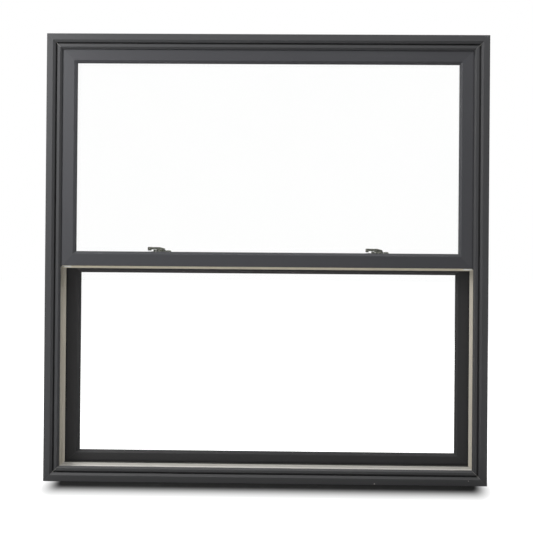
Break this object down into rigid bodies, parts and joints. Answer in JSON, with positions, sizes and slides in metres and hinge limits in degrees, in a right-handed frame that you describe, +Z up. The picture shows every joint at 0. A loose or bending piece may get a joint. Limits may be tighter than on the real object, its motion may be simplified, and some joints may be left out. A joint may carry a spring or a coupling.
{
  "type": "double-hung window",
  "caption": "Double-hung window unit: welded dark frame, two glazed sliding sashes one above the other, cam locks on the meeting rail.",
  "frame": {"origin": "middle of the underside of the unit, halfway through its depth", "axes": "+X along the sill, to the right seen from outdoors; -Y faces outdoors, +Y faces the room; +Z up"},
  "size_m": [1.207, 0.0826, 1.222],
  "materials": {
    "dark_vinyl": "satin dark grey exterior finish",
    "beige_vinyl": "plain beige vinyl",
    "glass": "clear float glass",
    "spacer_metal": "mill aluminium spacer",
    "pile": "grey pile weatherstrip",
    "black_rubber": "black glazing seal",
    "lock_metal": "satin dark olive-grey lacquer",
    "steel": "zinc plated steel",
    "white_nylon": "white nylon"
  },
  "bodies": {
    "root": {"frame_head": "dark_vinyl", "frame_sill": "dark_vinyl", "frame_jamb_left": "dark_vinyl", "frame_jamb_right": "dark_vinyl", "upper_top_rail": "dark_vinyl", "upper_bottom_rail": "dark_vinyl", "upper_stile_left": "dark_vinyl", "upper_stile_right": "dark_vinyl", "lower_top_rail": "dark_vinyl", "lower_bottom_rail": "dark_vinyl", "lower_stile_left": "dark_vinyl", "lower_stile_right": "dark_vinyl", "upper_outer_pane": "glass", "upper_inner_pane": "glass", "lower_outer_pane": "glass", "lower_inner_pane": "glass", "upper_spacer": "spacer_metal", "lower_spacer": "spacer_metal", "upper_glazing_beads": "beige_vinyl", "lower_glazing_beads": "beige_vinyl", "upper_weatherstrip": "pile", "lower_weatherstrip": "pile", "upper_pivot_bar_left": "steel", "upper_pivot_bar_right": "steel", "lower_pivot_bar_left": "steel", "lower_pivot_bar_right": "steel", "upper_balance_shoe_left": "white_nylon", "upper_balance_shoe_right": "white_nylon", "lower_balance_shoe_left": "white_nylon", "lower_balance_shoe_right": "white_nylon", "cam_lock_left": "lock_metal", "cam_lock_right": "lock_metal", "lock_lever_left": "lock_metal", "lock_lever_right": "lock_metal", "lock_keeper_left": "lock_metal", "lock_keeper_right": "lock_metal", "tilt_latch_left": "beige_vinyl", "tilt_latch_right": "beige_vinyl", "vent_latch_left": "beige_vinyl", "vent_latch_right": "beige_vinyl"}
  },
  "joints": []
}
